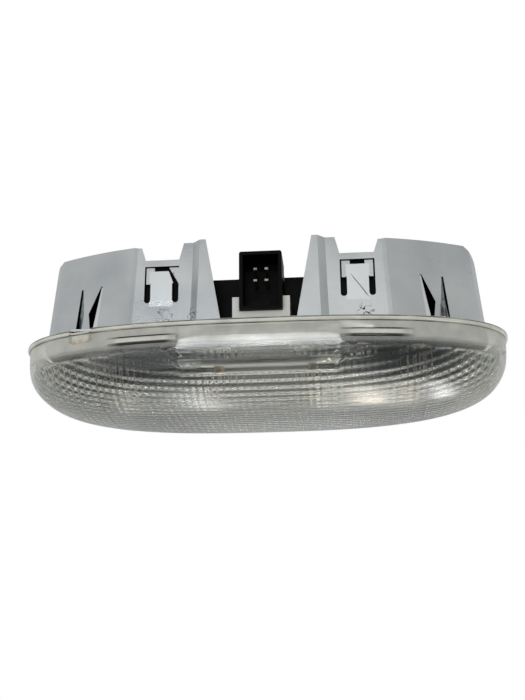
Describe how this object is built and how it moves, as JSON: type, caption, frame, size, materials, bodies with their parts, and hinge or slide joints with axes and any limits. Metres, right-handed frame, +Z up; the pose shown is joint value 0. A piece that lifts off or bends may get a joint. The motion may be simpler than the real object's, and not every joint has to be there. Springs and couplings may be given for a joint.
{
  "type": "car dome light",
  "caption": "Oval interior roof lamp: a deep clear fluted lens under a folded sheet-metal shield with spring tongues, a plug socket and tubular bulbs inside.",
  "frame": {"origin": "middle of the lens rim's top face, the plane that lies against the headliner", "axes": "+X along the lamp, -Y towards the plug side, +Z up into the roof, so the lens hangs down"},
  "size_m": [0.18, 0.076, 0.0608],
  "materials": {
    "lens_clear": "clear moulded plastic, fluted inside",
    "shield_metal": "satin stamped sheet",
    "ivory_plastic": "moulded, slightly aged",
    "black_plastic": "moulded satin black",
    "terminal_metal": "tinned strip",
    "contact_metal": "spring strip",
    "bulb_glass": "clear",
    "bulb_metal": "nickel plated",
    "filament_metal": "dark wire",
    "rivet_metal": "plain"
  },
  "bodies": {
    "root": {"lens": "lens_clear", "reflector_shield": "shield_metal", "lamp_base": "ivory_plastic", "connector_housing": "black_plastic", "terminal_cover": "black_plastic", "terminal_left_outer": "terminal_metal", "terminal_right_outer": "terminal_metal", "terminal_left_inner": "terminal_metal", "terminal_right_inner": "terminal_metal", "contact_left_inner": "contact_metal", "contact_right_inner": "contact_metal", "contact_left_outer": "contact_metal", "contact_right_outer": "contact_metal", "bulb_glass_left": "bulb_glass", "bulb_glass_right": "bulb_glass", "bulb_caps_left": "bulb_metal", "bulb_caps_right": "bulb_metal", "filament_left": "filament_metal", "filament_right": "filament_metal", "base_rivets": "rivet_metal", "contact_studs": "contact_metal"}
  },
  "joints": []
}
